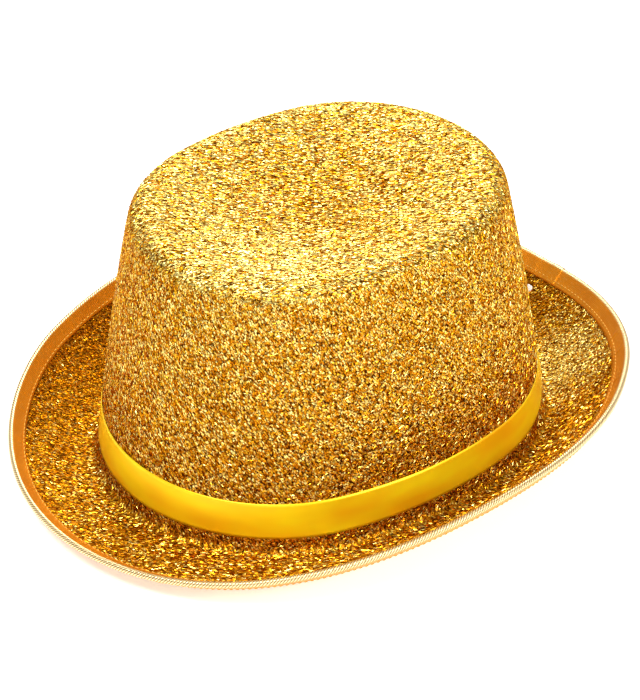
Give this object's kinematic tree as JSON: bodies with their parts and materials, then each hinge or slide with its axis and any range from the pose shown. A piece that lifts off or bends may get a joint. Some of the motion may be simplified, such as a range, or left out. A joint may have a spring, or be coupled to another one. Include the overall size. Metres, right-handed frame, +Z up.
{
  "type": "party top hat",
  "caption": "Gold knit party top hat with an oval tapered crown, dished tip, satin band, and a bound brim turned up at the sides; worn on the head at celebrations.",
  "frame": {"origin": "centre of the bounding box, on the surface the hat stands on", "axes": "+Z up through the crown, +Y towards the back of the hat along its length, +X towards the wearer's left"},
  "size_m": [0.2498, 0.298, 0.1298],
  "materials": {
    "felt": "matte",
    "gold_knit": "metallic",
    "satin_ribbon": "satin",
    "gold_tape": "metallic",
    "edge_wire": "satin",
    "gold_thread": "satin",
    "sweatband_ribbon": "matte",
    "label_ribbon": "satin",
    "clear_plastic": "gloss"
  },
  "bodies": {
    "root": {"hat_shell": "felt", "lurex_cover": "gold_knit", "hat_band": "satin_ribbon", "brim_wire": "edge_wire", "brim_binding": "gold_tape", "binding_stitching": "gold_thread", "sweatband": "sweatband_ribbon", "sweatband_stitching": "gold_thread", "care_label": "label_ribbon", "tag_barb": "clear_plastic"}
  },
  "joints": []
}
